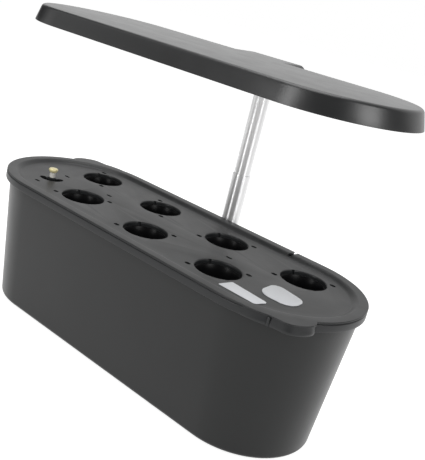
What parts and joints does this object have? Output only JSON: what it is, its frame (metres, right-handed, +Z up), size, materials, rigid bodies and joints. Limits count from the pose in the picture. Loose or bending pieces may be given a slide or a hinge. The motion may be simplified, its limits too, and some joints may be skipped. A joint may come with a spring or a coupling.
{
  "type": "countertop hydroponic garden",
  "caption": "Oblong dark grey water tank with a lift-off planting deck, round pod openings, a float gauge and a flat light hood on a telescopic post.",
  "frame": {"origin": "on the table plane, under the middle of the whole object's bounding box", "axes": "+X along the tank towards the end with the control plate, +Y towards the post, +Z up"},
  "size_m": [0.36, 0.1656, 0.2655],
  "materials": {
    "tank_plastic": "fine satin black-grey moulding",
    "deck_plastic": "fine matt dark grey moulding",
    "collar_plastic": "gloss black moulding",
    "hood_plastic": "satin dark grey moulding, with a soft sheen on top",
    "dark_plastic": "plain dark moulding",
    "white_plastic": "white moulding",
    "cream_plastic": "cream yellow moulding",
    "plate_plastic": "light grey film, bare",
    "cover_plastic": "white light tray",
    "diffuser_plastic": "milky diffuser",
    "polished_steel": "polished tube",
    "zinc_steel": "zinc plated screws",
    "copper_wire": "enamelled copper winding",
    "foot_rubber": "black rubber",
    "board_laminate": "green circuit board",
    "led_board_laminate": "white coated metal core board",
    "led_lens": "yellow phosphor",
    "filter_foam": "open cell filter foam",
    "ceramic_shaft": "ceramic shaft",
    "magnet_ferrite": "ferrite magnet"
  },
  "bodies": {
    "base": {"tank_shell": "tank_plastic", "rubber_feet": "foot_rubber", "rear_housing": "tank_plastic", "rear_cover": "dark_plastic", "housing_screws": "zinc_steel", "cover_screws": "zinc_steel", "dc_jack": "dark_plastic", "power_board": "board_laminate", "lower_tube": "polished_steel", "tube_stop": "dark_plastic", "pump_body": "dark_plastic", "pump_cover": "dark_plastic", "pump_coil": "copper_wire", "pump_end_cap": "dark_plastic", "pump_shaft": "ceramic_shaft", "pump_spout": "dark_plastic", "pump_filter": "filter_foam", "filter_cap": "dark_plastic", "suction_cups": "foot_rubber"},
    "impeller": {"pump_impeller": "white_plastic", "rotor_magnet": "magnet_ferrite"},
    "deck": {"deck": "deck_plastic", "pod_collars": "collar_plastic", "front_plate": "plate_plastic", "control_overlay": "plate_plastic", "control_box": "dark_plastic", "control_board": "board_laminate", "key_switches": "dark_plastic", "control_screws": "zinc_steel", "float_cage": "dark_plastic"},
    "gauge": {"float_body": "white_plastic", "float_stem": "white_plastic", "float_cap": "cream_plastic"},
    "light_key": {"light_key": "white_plastic"},
    "pump_key": {"pump_key": "white_plastic"},
    "mast": {"upper_tube": "polished_steel", "slider_bush": "white_plastic", "swivel_cap": "zinc_steel"},
    "hood": {"hood_shell": "hood_plastic", "pivot_bracket": "dark_plastic", "pivot_screws": "zinc_steel", "hood_cover": "cover_plastic", "hood_cover_screws": "zinc_steel", "light_diffuser": "diffuser_plastic", "led_board": "led_board_laminate", "led_chips": "led_lens", "board_screws": "zinc_steel", "light_socket": "white_plastic"}
  },
  "joints": [
    {"name": "light_height", "type": "slide", "parent": "base", "child": "mast", "axis": [0, 0, 1], "range_m": [-0.055, 0.073]},
    {"name": "light_swivel", "type": "hinge", "parent": "mast", "child": "hood", "pos_m": [0, 0.06924, 0.2543], "axis": [0, 0, 1], "range_deg": [-90, 90]},
    {"name": "deck_lift", "type": "slide", "parent": "base", "child": "deck", "axis": [0, 0, 1], "range_m": [0, 0.042]},
    {"name": "float_rise", "type": "slide", "parent": "deck", "child": "gauge", "axis": [0, 0, 1], "range_m": [0, 0.022]},
    {"name": "light_key_press", "type": "slide", "parent": "deck", "child": "light_key", "axis": [0, 0, -1], "range_m": [0, 0.00025], "stiffness_N_per_m": 8000},
    {"name": "pump_key_press", "type": "slide", "parent": "deck", "child": "pump_key", "axis": [0, 0, -1], "range_m": [0, 0.00025], "stiffness_N_per_m": 8000},
    {"name": "impeller_spin", "type": "hinge", "parent": "base", "child": "impeller", "pos_m": [0.1104, -0.01276, 0.0222], "axis": [1, 0, 0], "continuous": true}
  ]
}
